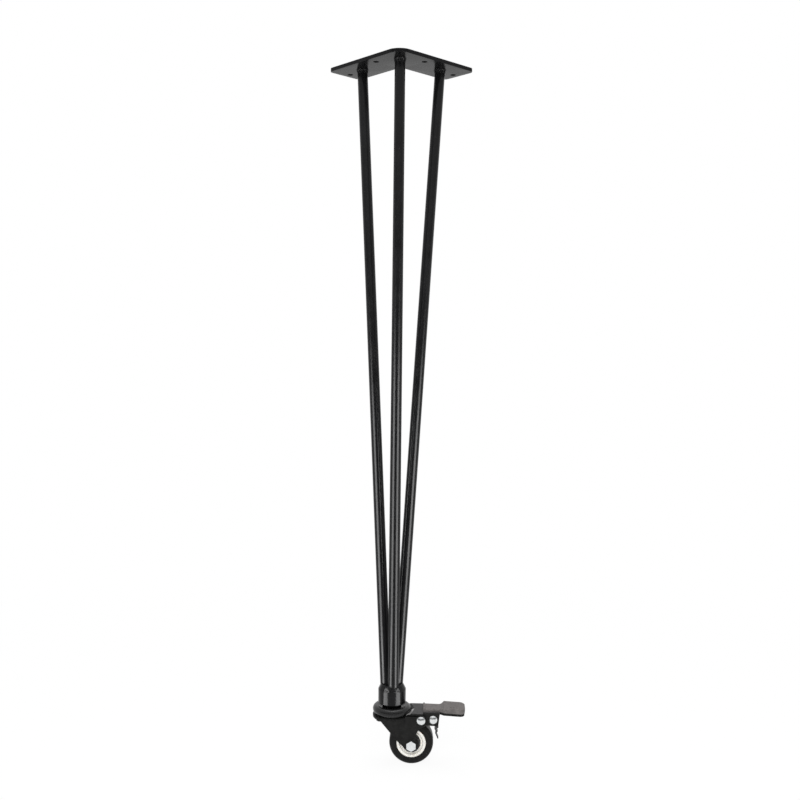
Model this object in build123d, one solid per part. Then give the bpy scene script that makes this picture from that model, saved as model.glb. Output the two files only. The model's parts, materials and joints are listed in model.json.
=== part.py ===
from build123d import *
import math
import os

# A steel table leg: three round rods between an L-shaped plate and a collar,
# with a braked swivel castor screwed into the collar.
# Millimetres. The origin is on the plate's top face, where the arms' centre lines cross.
# +Z is up and the plate's outer corner points along -Y. The castor trails along +X.

# Leg
leg_height = 711.0  # plate's top face to the collar's bottom face
foot_reach = 77.0  # the swivel axis stands this far out from the centre rod's top
rod_diameter = 12.0
rod_gap = 0.4  # between the rods where they meet on the collar

# Mounting plate
plate_thickness = 4.2
arm_length = 121.0  # along the outer edge
arm_width = 48.0
outer_corner_radius = 16.0
inner_corner_radius = 3.0
end_corner_radius = 6.0
plate_edge_radius = 0.5
side_rod_station = 64.0  # from the centre rod, along an arm's centre line
screw_hole_diameter = 6.5
near_hole_station = 26.9  # from the centre rod, along the arm
near_hole_offset = 11.9  # towards the outer edge
end_hole_margin = 9.2  # from the arm's end
end_hole_offset = 1.6  # towards the inner edge

# Welds
plate_weld_width = 1.3
plate_weld_height = 4.0
weld_toe = 0.25  # thickness left at a weld's thin edge
collar_weld_height = 6.0
collar_weld_slope = 2.8  # how far the weld leans in over its height

# Collar
collar_height = 15.6
collar_margin = 1.8  # steel outside the cluster of rods
cluster_twist = 11.0  # degrees, how far the rods' feet lie round from the plate's middle line
collar_chamfer = 1.0
collar_shoulder_radius = 1.2
thread_clearance = 0.05

# Castor stem
stem_diameter = 10.0
stem_engagement = 12.0
stem_run_out = 1.5  # bore left free above the stem
stem_chamfer = 1.0
hexagon_across_flats = 17.0
hexagon_height = 3.2
king_pin_diameter = 9.0
king_pin_head_diameter = 12.4
king_pin_head_height = 1.6

# Swivel bearing
race_diameter = 41.4
race_height = 8.8
race_wall = 1.8
race_dish_depth = 1.0
race_dish_radius = 12.5
race_dish_slope = 2.3
race_curl_angle = 65.0  # how far the rim curls in under itself
lower_race_diameter = 23.2
lower_race_thickness = 2.0
swivel_ball_diameter = 4.76
swivel_ball_count = 11
swivel_ball_pitch = 18.8
swivel_groove_depth = 0.6
ball_clearance = 0.05

# Yoke
yoke_sheet = 2.5
yoke_bend_radius = 3.5  # outside of the bend
race_gap = 1.9  # upper race's lip to the yoke's flange
dome_top_diameter = 25.0
dome_slope = 2.0
king_pin_clearance = 0.7
axle_trail = 21.4
axle_lobe_radius = 7.2
cheek_top_left = 11.5
cheek_knee = (15.6, 4.7)  # the front edge's bend, measured back and up from the axle
cheek_waist_radius = 11.5
cheek_waist_reach = 16.5  # the hollow's centre, ahead of the axle
cheek_waist_rise = 8.8  # and above it
ear_radius = 5.8
ear_shelf_drop = 1.15  # the ear's straight top edge, below its round end
ear_race_clearance = 0.6

# Wheel
wheel_diameter = 47.6
tyre_width = 21.0
tyre_shoulder_radius = 5.0
tyre_lip_set_back = 0.5
core_diameter = 31.6
core_width = 19.2
core_rim_wall = 2.8
core_web_width = 15.0
core_web_slope = 0.8
core_key_width = 8.0  # ridge that the tyre is moulded over
core_key_height = 1.4
hub_diameter = 18.0
hub_width = 23.0
hub_draft = 0.4
cap_diameter = 20.6
cap_bore = 12.0
cap_lid = 0.5
cap_draft = 1.1

# Wheel bearings
bearing_bore = 6.04
bearing_outside = 13.0
bearing_width = 5.0
bearing_ring_wall = 0.9
bearing_ball_diameter = 2.38
bearing_ball_count = 7
shield_thickness = 0.3
shield_set_back = 0.4
shield_clearance = 0.15

# Axle
axle_diameter = 6.0
axle_hole_clearance = 0.2
axle_head_across_flats = 10.0
axle_head_height = 3.6
axle_head_chamfer = 0.3
axle_nut_height = 6.0
axle_nut_collar_height = 1.4
axle_end_length = 1.2  # bolt left showing past the nut
axle_spacer_length = 1.5
axle_spacer_diameter = 9.0
axle_sleeve_wall = 1.0
sleeve_clearance = 0.05

# Brake
lever_sheet = 1.5
lever_side_clearance = 0.5  # lever to the yoke's ears
lever_race_clearance = 0.6  # lever's hollow end to the upper race
lever_rise = 5.7  # lever's top above the yoke's flange
tongue_rim_drop = 1.3  # the tongue's edge is turned down by this much
lever_lip_depth = 2.8
lever_fold_radius = 1.3
lever_head_half = 16.2  # the web is wider over the ears, as far as the pedal's cover
lever_bevel_slope = 0.28
lever_bevel_plan = [(1.05, -0.5), (0.8, -0.1), (0.48, 1.4), (0.0, 3.2)]  # share of the half width, reach
pivot_reach = 31.8
pivot_drop = 2.0  # below the yoke's flange
pivot_diameter = 5.0
pivot_clearance = 0.05
lever_lobe_radius = 5.4
shoe_rivet_reach = 12.9  # from the pivot
shoe_rivet_rise = 0.2  # above the pivot
shoe_rivet_diameter = 4.6
lever_flange_reach = 7.3  # past the shoe's rivet, at the top
lever_flange_draft = 1.6  # the end slants in by this much
lever_flange_depth = 6.6  # below the shoe's rivet
lever_flange_heel = 1.8  # flange's lower corner, back from the shoe's rivet
rivet_head_diameter = 9.0
rivet_head_height = 1.8

# Brake shoe
shoe_sheet = 1.2
shoe_width = 6.5
shoe_gap = 3.9  # nearest circle of the shoe's centre line, outside the tyre
shoe_eye_wall = 1.3
shoe_bends = [(37.6, 2.1), (28.0, 4.9), (27.4, 1.2), (21.2, 2.4), (18.3, 0.2), (6.5, 1.3)]

# Pedal
pedal_start = 34.0  # the cover's near end, from the swivel axis
pedal_neck_start_width = 17.2
pedal_neck_width = 15.2
pedal_neck_end = 50.5
pedal_paddle_start = 56.5
pedal_paddle_width = 23.0
pedal_end = 79.0
pedal_end_radius = 6.0
pedal_neck_thickness = 2.8
pedal_paddle_step = 2.4  # paddle's top above the neck's
pedal_neck_lap = 0.6  # neck's overlap at its bend
pedal_ramp_length = 2.6  # slope from the neck's top to the paddle's
pedal_edge_radius = 1.0
pedal_lip_length = 1.6
pedal_lip_height = 0.8
pedal_overhang = 0.3  # cover past the tongue's edge
pedal_droop = 3.2  # degrees, past the lever's flanges
grip_rib_count = 4
grip_rib_pitch = 3.2
grip_rib_width = 1.2
grip_rib_height = 0.4
grip_rib_margin = 4.0  # left clear beside and behind the ribs

# Leg, worked out
rod_radius = rod_diameter / 2
cluster_pitch = rod_diameter + rod_gap
cluster_circle = cluster_pitch / math.sqrt(3)
collar_radius = cluster_circle + rod_radius + collar_margin
plate_under = -plate_thickness
seat_z = -leg_height
collar_top = seat_z + collar_height
diagonal = math.sqrt(0.5)
foot = Pos(0, -foot_reach, seat_z)
envelope = 4 * (arm_length + foot_reach)  # wider than everything

# Castor, worked out, from the collar's bottom face and the swivel axis
race_top = race_dish_depth - hexagon_height
race_radius = race_diameter / 2
rim_radius = race_height / 2
curl = math.radians(race_curl_angle)
race_lip = race_top - rim_radius - rim_radius * math.sin(curl)
swivel_ball_radius = swivel_ball_diameter / 2
ball_half_stack = swivel_ball_radius - swivel_groove_depth
upper_ball_z = -hexagon_height - race_wall - ball_half_stack
dome_top = upper_ball_z - ball_half_stack
dome_under = dome_top - yoke_sheet
lower_ball_z = dome_under - ball_half_stack
lower_race_top = lower_ball_z - ball_half_stack
lower_race_under = lower_race_top - lower_race_thickness
flange_top = race_lip - race_gap
flange_under = flange_top - yoke_sheet
bend_line = flange_top - yoke_bend_radius
yoke_inside = hub_width / 2 + axle_spacer_length
yoke_outside = yoke_inside + yoke_sheet
tyre_radius = wheel_diameter / 2
core_radius = core_diameter / 2
wheel_top_clearance = 2.5
axle_z = flange_under - wheel_top_clearance - tyre_radius
axle_place = Pos(axle_trail, 0, axle_z)
lever_top = flange_top + lever_rise
lever_under = lever_top - lever_sheet
lever_half = yoke_inside - lever_side_clearance
pivot_z = flange_top - pivot_drop
shoe_rivet_x = pivot_reach + shoe_rivet_reach
shoe_rivet_z = pivot_z + shoe_rivet_rise
lever_end = shoe_rivet_x + lever_flange_reach
across = Rot(90, 0, 0)  # turns a piece made along +Z so that it lies along -Y
axle_head_radius = axle_head_across_flats / math.sqrt(3)
vertex_up = 30.0  # degrees, a hexagon with a corner at the top


def polygon(points):
    return make_face(Polyline(*points, close=True))


def turned(profile):
    # A profile of radius and height, turned about +Z.
    return revolve(Plane.XZ * profile, Axis.Z)


def ring(inner, outer, low, high):
    return turned(polygon([(inner, low), (outer, low), (outer, high), (inner, high)]))


def on_arm(side, station, offset=0.0):
    # A point of the plate: along an arm from the centre rod, and towards its inner edge.
    return side * (station - offset) * diagonal, (station + offset) * diagonal


def mirrored(points):
    return points + [(x, -y) for x, y in reversed(points)]


# Mounting plate and its holes
arm_end = arm_length - arm_width / 2
hole_places = [(near_hole_station, -near_hole_offset), (arm_end - end_hole_margin, end_hole_offset)]


def mounting_plate():
    half = arm_width / 2
    corners = [
        on_arm(1, -half, -half),
        on_arm(1, arm_end, -half),
        on_arm(1, arm_end, half),
        on_arm(1, half, half),
        on_arm(-1, arm_end, half),
        on_arm(-1, arm_end, -half),
    ]
    end = end_corner_radius
    radii = [outer_corner_radius, end, end, inner_corner_radius, end, end]
    outline = make_face(FilletPolyline(*corners, radius=radii, close=True))
    plate = extrude(Plane.XY.offset(plate_under) * outline, plate_thickness)
    rims = plate.faces().filter_by(Axis.Z).edges()
    plate = fillet(rims, plate_edge_radius)
    for station, offset in hole_places:
        for side in (-1, 1):
            x, y = on_arm(side, station, offset)
            plate -= Pos(x, y, plate_under) * Cylinder(screw_hole_diameter / 2, 4 * plate_thickness)
    return plate


# Rods, from the plate's underside to the collar's top face
rod_tops = {
    "center_rod": (0.0, 0.0),
    "left_rod": on_arm(-1, side_rod_station),
    "right_rod": on_arm(1, side_rod_station),
}


def cluster_spot(bearing):
    a = math.radians(bearing + cluster_twist)
    return (cluster_circle * math.cos(a), -foot_reach + cluster_circle * math.sin(a))


rod_feet = {
    "center_rod": cluster_spot(-90),
    "left_rod": cluster_spot(150),
    "right_rod": cluster_spot(30),
}


def long_bar(name):
    top = Vector(*rod_tops[name], plate_under)
    lean = Vector(*rod_feet[name], collar_top) - top
    start = top - lean.normalized() * rod_diameter
    return extrude(Plane(start, z_dir=lean) * Circle(rod_radius), lean.length + 2 * rod_diameter)


def rod(name):
    height = plate_under - collar_top
    return long_bar(name) & Pos(0, 0, plate_under - height / 2) * Box(envelope, envelope, height)


def plate_weld(name):
    # A fillet that follows the leaning rod, wide on the plate and thin on the rod.
    top = Vector(*rod_tops[name], plate_under)
    lean = Vector(*rod_feet[name], collar_top) - top
    steps = [(0.0, plate_weld_width), (1 / 3, plate_weld_width / 2.4), (1.0, weld_toe)]
    sections = []
    for share, width in steps:
        drop = share * plate_weld_height
        centre = top + lean * (drop / (plate_under - collar_top))
        sections.append(Plane(centre) * Circle(rod_radius + width))
    return loft(sections, ruled=True) - long_bar(name)


def plate_welds():
    return Compound(children=[plate_weld(name) for name in rod_tops])


def collar():
    barrel = Cylinder(collar_radius, collar_height, align=(Align.CENTER, Align.CENTER, Align.MIN))
    rims = barrel.edges().filter_by(GeomType.CIRCLE).sort_by(Axis.Z)
    barrel = chamfer(rims[0], collar_chamfer)
    top_rim = barrel.edges().filter_by(GeomType.CIRCLE).sort_by(Axis.Z)[-1]
    barrel = fillet(top_rim, collar_shoulder_radius)
    barrel -= ring(0, stem_diameter / 2 + thread_clearance, 0, stem_engagement + stem_run_out)
    return foot * barrel


def collar_weld():
    base = collar_radius - collar_shoulder_radius
    cone = ring(0, base, 0, collar_weld_height) & Pos(0, 0, collar_weld_height / 2) * Cone(
        base, base - collar_weld_slope, collar_weld_height
    )
    bead = Pos(0, -foot_reach, collar_top) * cone
    for name in rod_tops:
        bead -= long_bar(name)
    return bead


# Castor stem and swivel bearing
def caster_stem():
    thread = stem_diameter / 2
    pin = king_pin_diameter / 2
    head = king_pin_head_diameter / 2
    flare = head - king_pin_head_height / 2
    base = lower_race_under - king_pin_head_height
    outline = [
        (0, base),
        (flare, base),
        (head, base + king_pin_head_height / 2),
        (head, lower_race_under),
        (pin, lower_race_under),
        (pin, 0),
        (thread, 0),
        (thread, stem_engagement - stem_chamfer),
        (thread - stem_chamfer, stem_engagement),
        (0, stem_engagement),
    ]
    hexagon = RegularPolygon(hexagon_across_flats / 2, 6, major_radius=False)
    return foot * (turned(polygon(outline)) + extrude(hexagon, -hexagon_height))


def ball_groove(z):
    return Pos(0, 0, z) * Torus(swivel_ball_pitch / 2, swivel_ball_radius + ball_clearance)


def ball_ring(z, count, pitch, radius):
    first = Pos(pitch / 2, 0, z) * Sphere(radius)
    return [Rot(0, 0, 360 * i / count) * first for i in range(count)]


def swivel_balls(z):
    balls = ball_ring(z, swivel_ball_count, swivel_ball_pitch, swivel_ball_radius)
    return Compound(children=[foot * ball for ball in balls])


def upper_race():
    # A pressed dish whose rim rolls over and curls in at the bottom.
    centre_x = race_radius - rim_radius
    centre_z = race_top - rim_radius
    inner = rim_radius - race_wall

    def rim(radius, angle):
        return centre_x + radius * math.cos(angle), centre_z + radius * math.sin(angle)

    quarter = math.pi / 2
    floor = -hexagon_height
    pin = king_pin_diameter / 2
    dish_end = race_dish_radius + race_dish_slope
    edges = Polyline(
        rim(inner, quarter),
        (dish_end, race_top - race_wall),
        (race_dish_radius, floor - race_wall),
        (pin, floor - race_wall),
        (pin, floor),
        (race_dish_radius, floor),
        (dish_end, race_top),
        rim(rim_radius, quarter),
    )
    edges += ThreePointArc(rim(rim_radius, quarter), rim(rim_radius, 0), rim(rim_radius, -curl))
    edges += Line(rim(rim_radius, -curl), rim(inner, -curl))
    edges += ThreePointArc(rim(inner, -curl), rim(inner, 0), rim(inner, quarter))
    return foot * (turned(make_face(edges)) - ball_groove(upper_ball_z))


def lower_race():
    disc = ring(king_pin_diameter / 2, lower_race_diameter / 2, lower_race_under, lower_race_top)
    return foot * (disc - ball_groove(lower_ball_z))


# Yoke
def yoke_bridge():
    # Flange and the two bends, trimmed round to the race's diameter.
    flat = yoke_outside - yoke_bend_radius
    inner = yoke_bend_radius - yoke_sheet

    def bend(radius, side):
        knee = radius * diagonal
        ends = [(side * (flat + radius), bend_line), (side * flat, bend_line + radius)]
        return ThreePointArc(ends[0], (side * (flat + knee), bend_line + knee), ends[1])

    edges = Line((-flat, flange_top), (flat, flange_top))
    edges += bend(yoke_bend_radius, 1)
    edges += Line((yoke_outside, bend_line), (yoke_inside, bend_line))
    edges += bend(inner, 1)
    edges += Line((flat, flange_under), (-flat, flange_under))
    edges += bend(inner, -1)
    edges += Line((-yoke_inside, bend_line), (-yoke_outside, bend_line))
    edges += bend(yoke_bend_radius, -1)
    channel = extrude(Plane.YZ * make_face(edges), race_diameter, both=True)
    return channel & Cylinder(race_radius, envelope)


def yoke_cheek():
    # One cheek: a lobe round the axle, a hollow waist and an ear for the pivot.
    lobe = Pos(axle_trail, axle_z) * Circle(axle_lobe_radius)
    ear = Pos(pivot_reach, pivot_z) * Circle(ear_radius)
    knee_back, knee_up = cheek_knee
    corners = [
        (-cheek_top_left, bend_line),
        (axle_trail - knee_back, axle_z + knee_up),
        (pivot_reach + ear_radius, pivot_z),
        (pivot_reach + ear_radius, bend_line),
    ]
    spine = Polyline(*corners)
    body = make_hull(lobe.edges() + spine.edges())
    above = Pos(0, bend_line + envelope / 2) * Rectangle(envelope, envelope)
    shelf_z = pivot_z + ear_radius - ear_shelf_drop
    shelf = polygon([
        (0, bend_line),
        (pivot_reach + ear_radius, bend_line),
        (pivot_reach + ear_radius, pivot_z),
        (pivot_reach, shelf_z),
        (0, shelf_z),
    ])
    waist = Pos(axle_trail + cheek_waist_reach, axle_z + cheek_waist_rise) * Circle(cheek_waist_radius)
    outline = (body - above - waist) + shelf + ear
    outline -= Pos(axle_trail, axle_z) * Circle(axle_diameter / 2 + axle_hole_clearance)
    outline -= Pos(pivot_reach, pivot_z) * Circle(pivot_diameter / 2)
    return extrude(Plane.XZ.offset(yoke_inside) * outline, yoke_sheet)


def yoke():
    cheek = yoke_cheek()
    # Above the bends the cheeks only carry on behind the race, as the brake's ears.
    cheek -= ring(0, race_radius + ear_race_clearance, bend_line, envelope)
    cheek -= Pos(-envelope / 2, 0, bend_line + envelope / 2) * Box(envelope, envelope, envelope)
    body = yoke_bridge() + cheek + mirror(cheek, Plane.XZ)
    dome_radius = dome_top_diameter / 2
    dome_height = dome_top - flange_top
    dome_base = dome_radius + dome_slope
    mid = (flange_top + dome_top) / 2
    body += Pos(0, 0, mid) * Cone(dome_base, dome_radius, dome_height)
    wall = yoke_sheet * dome_height / math.hypot(dome_height, dome_slope)
    cavity = Cone(dome_base - wall, dome_radius - wall, dome_height)
    body -= Pos(0, 0, mid - yoke_sheet) * cavity
    body -= Cylinder(king_pin_diameter / 2 + king_pin_clearance, envelope)
    return foot * (body - ball_groove(upper_ball_z) - ball_groove(lower_ball_z))


# Wheel, made about +Z and laid along the axle
def on_axle(piece):
    return foot * axle_place * across * piece


def wheel_core():
    bearing = bearing_outside / 2
    seat = hub_width / 2 - bearing_width
    hub = hub_diameter / 2
    web = core_web_width / 2
    key = core_key_width / 2
    rim_inside = core_radius - core_rim_wall
    half = [
        (bearing - bearing_ring_wall, seat),
        (bearing, seat),
        (bearing, hub_width / 2),
        (hub - hub_draft, hub_width / 2),
        (hub, web),
        (rim_inside - core_web_slope, web),
        (rim_inside, core_width / 2),
        (core_radius, core_width / 2),
        (core_radius, key),
        (core_radius + core_key_height, key),
    ]
    return on_axle(turned(polygon(mirrored(half))))


def dust_caps():
    # Covers that close the bearings in, pushed over the ends of the hub.
    hub = hub_diameter / 2
    web = core_web_width / 2
    end = hub_width / 2
    cap = turned(polygon([
        (hub, web),
        (cap_diameter / 2, web),
        (cap_diameter / 2 - cap_draft, end + cap_lid),
        (cap_bore / 2, end + cap_lid),
        (cap_bore / 2, end),
        (hub - hub_draft, end),
    ]))
    return on_axle(Compound(children=[cap, mirror(cap, Plane.XY)]))


def tyre():
    key = core_key_width / 2
    half = tyre_width / 2
    crown = half - tyre_shoulder_radius
    flank = tyre_radius - tyre_shoulder_radius
    lip = half - tyre_lip_set_back
    bulge = diagonal * tyre_shoulder_radius

    def side(sign):
        edges = Polyline(
            (core_radius + core_key_height, sign * key),
            (core_radius, sign * key),
            (core_radius, sign * lip),
            (flank, sign * half),
        )
        middle = (flank + bulge, sign * (crown + bulge))
        return edges + ThreePointArc((flank, sign * half), middle, (tyre_radius, sign * crown))

    edges = side(1) + side(-1)
    edges += Line((tyre_radius, crown), (tyre_radius, -crown))
    edges += Line((core_radius + core_key_height, key), (core_radius + core_key_height, -key))
    return on_axle(turned(make_face(edges)))


bearing_centre = hub_width / 2 - bearing_width / 2
bearing_pitch_radius = (bearing_bore + bearing_outside) / 4


def bearing_pair(piece):
    # One piece for each bearing, its outboard side away from the wheel's middle.
    front = Pos(0, 0, bearing_centre) * piece
    return Compound(children=[on_axle(front), on_axle(mirror(front, Plane.XY))])


def bearing_groove():
    return Torus(bearing_pitch_radius, bearing_ball_diameter / 2 + ball_clearance)


def bearing_outer_rings():
    outer = bearing_outside / 2
    half = bearing_width / 2
    return bearing_pair(ring(outer - bearing_ring_wall, outer, -half, half) - bearing_groove())


def bearing_inner_rings():
    inner = bearing_bore / 2
    half = bearing_width / 2
    return bearing_pair(ring(inner, inner + bearing_ring_wall, -half, half) - bearing_groove())


def bearing_balls():
    balls = ball_ring(0, bearing_ball_count, 2 * bearing_pitch_radius, bearing_ball_diameter / 2)
    placed = []
    for side in (-1, 1):
        placed += [on_axle(Pos(0, 0, side * bearing_centre) * ball) for ball in balls]
    return Compound(children=placed)


def bearing_shields():
    inner = bearing_bore / 2 + bearing_ring_wall + shield_clearance
    outer = bearing_outside / 2 - bearing_ring_wall
    high = bearing_width / 2 - shield_set_back
    shield = ring(inner, outer, high - shield_thickness, high)
    placed = []
    for side in (-1, 1):
        for turn in (0, 180):
            placed.append(on_axle(Pos(0, 0, side * bearing_centre) * Rot(turn, 0, 0) * shield))
    return Compound(children=placed)


# Axle
def hexagon_blank(height):
    # A hexagon with its outer corners turned off.
    flat = extrude(Rot(0, 0, vertex_up) * RegularPolygon(axle_head_radius, 6), height)
    low = axle_head_radius - 2 * axle_head_chamfer
    crown = [
        (0, 0),
        (axle_head_radius, 0),
        (axle_head_radius, height - axle_head_chamfer),
        (low, height),
        (0, height),
    ]
    return flat & turned(polygon(crown))


def axle_bolt():
    shank_end = -(yoke_outside + axle_nut_height + axle_end_length)
    head = Pos(0, 0, yoke_outside) * hexagon_blank(axle_head_height)
    return on_axle(head + ring(0, axle_diameter / 2, shank_end, yoke_outside))


def axle_nut():
    hexagon_height_nut = axle_nut_height - axle_nut_collar_height
    body = hexagon_blank(hexagon_height_nut)
    low = axle_head_radius - 2 * axle_head_chamfer
    body += ring(0, low, hexagon_height_nut, axle_nut_height)
    body -= ring(0, axle_diameter / 2, 0, axle_nut_height)
    return on_axle(Rot(180, 0, 0) * Pos(0, 0, yoke_outside) * body)


def axle_sleeve():
    inner = axle_diameter / 2 + sleeve_clearance
    half = hub_width / 2 - bearing_width
    return on_axle(ring(inner, inner + axle_sleeve_wall, -half, half))


def axle_spacers():
    inner = axle_diameter / 2 + sleeve_clearance
    spacer = ring(inner, axle_spacer_diameter / 2, hub_width / 2, yoke_inside)
    return Compound(children=[on_axle(spacer), on_axle(mirror(spacer, Plane.XY))])


# Rivets, made about +Z
def rivet(shank_diameter, grip_half):
    head = rivet_head_diameter / 2
    dome = (head ** 2 + rivet_head_height ** 2) / (2 * rivet_head_height)
    ball = Pos(0, 0, rivet_head_height - dome) * Sphere(dome)
    cap = ball & Pos(0, 0, rivet_head_height / 2) * Box(envelope, envelope, rivet_head_height)
    top = Pos(0, 0, grip_half) * cap
    return ring(0, shank_diameter / 2, -grip_half, grip_half) + top + mirror(top, Plane.XY)


def pivot_rivet():
    return foot * Pos(pivot_reach, 0, pivot_z) * across * rivet(pivot_diameter, yoke_outside)


def shoe_rivet():
    return foot * Pos(shoe_rivet_x, 0, shoe_rivet_z) * across * rivet(shoe_rivet_diameter, lever_half)


# Brake lever: a web, two lips and flanges along its sides, and the pedal's tongue
def drooped(piece):
    # Turned about the line where the tongue leaves the web.
    bend = Pos(lever_end, 0, lever_top)
    return bend * Rot(0, pedal_droop, 0) * bend.inverse() * piece


def pedal_plan(start, inset):
    # The pedal seen from above, from the lever's web to its round end.
    half = pedal_paddle_width / 2 - inset
    neck = pedal_neck_width / 2 - inset
    end = pedal_end - inset
    round_end = pedal_end_radius - inset
    side = [(start, neck), (pedal_neck_end, neck), (pedal_paddle_start, half), (end, half)]
    plan = polygon(mirrored(side))
    return fillet(plan.vertices().sort_by(Axis.X)[-2:], round_end)


def tongue():
    plan = pedal_plan(lever_end, pedal_overhang)
    sheet = extrude(Plane.XY.offset(lever_under) * plan, lever_sheet)
    edge = plan - pedal_plan(lever_end, pedal_overhang + lever_sheet)
    rim = extrude(Plane.XY.offset(lever_under) * edge, -tongue_rim_drop)
    rim &= Pos(pedal_neck_end + envelope / 2, 0, lever_under) * Box(envelope, envelope, envelope)
    return drooped(sheet + rim)


def lever_flange():
    lobe = Pos(pivot_reach, pivot_z) * Circle(lever_lobe_radius)
    toe = shoe_rivet_x + lever_flange_reach
    low = shoe_rivet_z - lever_flange_depth
    corners = [
        (pivot_reach - lever_lobe_radius, lever_top),
        (toe, lever_top),
        (toe - lever_flange_draft, low),
        (shoe_rivet_x - lever_flange_heel, low),
    ]
    body = make_hull(lobe.edges() + Polyline(*corners).edges())
    body += polygon([
        (0, lever_top - lever_lip_depth),
        (pivot_reach, lever_top - lever_lip_depth),
        (pivot_reach, lever_top),
        (0, lever_top),
    ])
    body -= Pos(pivot_reach, pivot_z) * Circle(pivot_diameter / 2 + pivot_clearance)
    body -= Pos(shoe_rivet_x, shoe_rivet_z) * Circle(shoe_rivet_diameter / 2)
    return extrude(Plane.XZ.offset(lever_half - lever_sheet) * body, lever_sheet)


def corner_bevel():
    # Takes the web's corner off in a slanted facet beside the hollow end.
    hollow = race_radius + lever_race_clearance
    back = hollow - lever_head_half
    sections = []
    for share, reach in lever_bevel_plan:
        start = hollow + reach
        low = lever_top - lever_bevel_slope * (start - back)
        outline = polygon([(back, low), (start, lever_top), (start, envelope), (back, envelope)])
        sections.append(Plane.XZ.offset(share * lever_head_half) * outline)
    return loft(sections, ruled=True)


def brake_lever():
    web = Pos(lever_end / 2, 0, lever_top - lever_sheet / 2) * Box(lever_end, 2 * lever_half, lever_sheet)
    folds = web.edges().filter_by(Axis.X).group_by(Axis.Z)[-1]
    web = fillet(folds, lever_fold_radius)
    head = Pos(pedal_start / 2, 0, lever_top - lever_sheet / 2) * Box(pedal_start, 2 * lever_head_half, lever_sheet)
    folds = head.edges().filter_by(Axis.X).group_by(Axis.Z)[-1]
    web += fillet(folds, lever_fold_radius)
    flange = lever_flange()
    rim = Pos(0, 0, lever_top - lever_sheet / 2) * Box(envelope, envelope, lever_sheet)
    flange -= rim
    body = web + flange + mirror(flange, Plane.XZ) + tongue()
    bevel = corner_bevel()
    body -= bevel + mirror(bevel, Plane.XZ)
    body -= Cylinder(race_radius + lever_race_clearance, envelope)
    return foot * body


def pedal_outline(low, high, widths):
    side = [(x, width / 2) for x, width in widths]
    return extrude(Plane.XY.offset(low) * polygon(mirrored(side)), high - low)


def long_rims(face):
    return face.edges().filter_by(Axis.Y, reverse=True)


def pedal_cover():
    neck_top = lever_top + pedal_neck_thickness
    paddle_top = neck_top + pedal_paddle_step
    neck_widths = [
        (pedal_start, pedal_neck_start_width),
        (lever_end, pedal_neck_width),
        (lever_end + pedal_neck_lap, pedal_neck_width),
    ]
    neck = pedal_outline(lever_top, neck_top, neck_widths)
    neck = chamfer(long_rims(neck.faces().sort_by(Axis.Z)[-1]), pedal_edge_radius / 2)
    lip_width = pedal_neck_start_width + pedal_lip_height
    lip_widths = [(pedal_start, lip_width), (pedal_start + pedal_lip_length, lip_width)]
    lip = pedal_outline(lever_top, neck_top + pedal_lip_height, lip_widths)
    lip = fillet(lip.faces().sort_by(Axis.Z)[-1].edges(), pedal_lip_length / 3)

    ramp = pedal_paddle_start - pedal_ramp_length
    side = polygon([
        (lever_end, lever_top),
        (pedal_end, lever_top),
        (pedal_end, paddle_top),
        (pedal_paddle_start, paddle_top),
        (ramp, neck_top),
        (lever_end, neck_top),
    ])
    plan = Plane.XY.offset(lever_top) * pedal_plan(lever_end, 0)
    paddle = extrude(plan, pedal_neck_thickness + pedal_paddle_step)
    paddle &= extrude(Plane.XZ * side, envelope, both=True)
    crown = paddle.faces().sort_by(Axis.Z)[-1]
    rim = [e for e in crown.edges() if e.center().X > pedal_paddle_start + pedal_edge_radius]
    paddle = fillet(rim, pedal_edge_radius)
    flat = paddle.faces().filter_by(Axis.Z).sort_by(Axis.Z)[-2]
    paddle = chamfer(long_rims(flat), pedal_edge_radius / 2)
    rib_length = pedal_paddle_width - 2 * grip_rib_margin
    for i in range(grip_rib_count):
        x = pedal_end - pedal_end_radius - i * grip_rib_pitch
        bar = Box(grip_rib_width, rib_length, 2 * grip_rib_height)
        paddle += Pos(x, 0, paddle_top) * bar
    return foot * (neck + lip + drooped(paddle))


def strip(points, thickness, width):
    # A bent strip: rounded lengths joined end to end, then drawn across the castor.
    outline = Sketch()
    for (x0, z0), (x1, z1) in zip(points, points[1:]):
        length = math.hypot(x1 - x0, z1 - z0)
        turn = math.degrees(math.atan2(z1 - z0, x1 - x0))
        middle = Pos((x0 + x1) / 2, (z0 + z1) / 2)
        outline += middle * Rot(0, 0, turn) * SlotCenterToCenter(length, thickness)
    return extrude(Plane.XZ * outline, width / 2, both=True)


def brake_shoe():
    eye = shoe_rivet_diameter / 2 + shoe_eye_wall
    circle = tyre_radius + shoe_gap
    points = [(shoe_rivet_x, shoe_rivet_z - eye + shoe_sheet / 2)]
    for angle, rise in shoe_bends:
        a = math.radians(angle)
        radius = circle + rise
        points.append((axle_trail + radius * math.cos(a), axle_z + radius * math.sin(a)))
    body = strip(points, shoe_sheet, shoe_width)
    centre = Pos(shoe_rivet_x, 0, shoe_rivet_z)
    half = shoe_width / 2
    body += centre * across * ring(0, eye, -half, half)
    body -= centre * across * ring(0, shoe_rivet_diameter / 2, -half, half)
    return foot * body


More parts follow.
